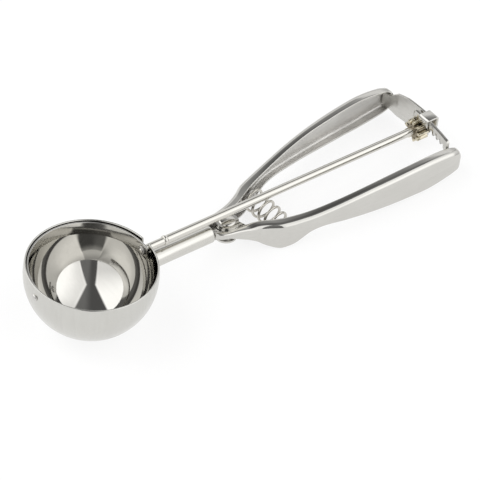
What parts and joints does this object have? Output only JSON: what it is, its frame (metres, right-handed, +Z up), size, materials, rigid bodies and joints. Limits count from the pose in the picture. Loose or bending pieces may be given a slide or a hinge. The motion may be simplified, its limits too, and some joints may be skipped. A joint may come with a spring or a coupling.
{
  "type": "ice cream scoop",
  "caption": "Stainless steel ice cream scoop with a round bowl, squeeze handles and a rack and pinion that swings a sweeper blade to release the scooped ball.",
  "frame": {"origin": "centre of the bounding box on the plane the scoop lies on", "axes": "+X along the scoop from the bowl to the ends of the handles, +Y towards the fixed handle, +Z up, out of the bowl's mouth"},
  "size_m": [0.2234, 0.06, 0.0384],
  "materials": {
    "bowl_steel": "mirror polished inside, bright satin outside",
    "handle_steel": "polished to a soft sheen, satin inside",
    "tube_steel": "polished",
    "fork_steel": "polished",
    "plate_steel": "bright satin",
    "rack_steel": "bright satin, cut teeth",
    "blade_steel": "polished",
    "pin_steel": "machined bright",
    "washer_steel": "plain bright",
    "rivet_nickel": "nickel plated, polished",
    "rod_nickel": "nickel plated, polished",
    "pinion_nickel": "nickel over brass, worn bright",
    "spring_wire": "bright drawn wire",
    "braze": "ground smooth"
  },
  "bodies": {
    "frame": {"bowl": "bowl_steel", "bowl_weld": "braze", "front_pin": "pin_steel", "front_washer": "washer_steel", "shaft_tube": "tube_steel", "pivot_fork": "fork_steel", "neck_weld": "braze", "pivot_rivet": "rivet_nickel", "pivot_spacer": "washer_steel", "pivot_washers": "washer_steel", "far_handle": "handle_steel", "far_spring_seat": "washer_steel", "end_plate": "plate_steel", "keeper_clip": "plate_steel", "return_spring": "spring_wire"},
    "lever": {"near_handle": "handle_steel", "near_spring_seat": "washer_steel", "rack": "rack_steel", "rack_foot": "rack_steel"},
    "sweeper": {"drive_rod": "rod_nickel", "front_spindle": "pin_steel", "tail_spindle": "pin_steel", "rod_collar": "rod_nickel", "pinion": "pinion_nickel", "sweeper_blade": "blade_steel", "blade_washer": "washer_steel"}
  },
  "joints": [
    {"name": "lever_squeeze", "type": "hinge", "parent": "frame", "child": "lever", "pos_m": [-0.00677, 0, 0.01225], "axis": [0.1167, 0, 0.9932], "range_deg": [0, 7.39], "stiffness_Nm_per_rad": 0.4, "springref_deg": -8.59, "deforming": ["return_spring"]},
    {"name": "sweeper_turn", "type": "hinge", "parent": "frame", "child": "sweeper", "pos_m": [-0.00572, 0, 0.02119], "axis": [-0.9932, 0, 0.1167], "range_deg": [0, 184]}
  ],
  "couplings": [
    {"joint": "sweeper_turn", "follows": "lever_squeeze", "ratio": 24.889}
  ]
}
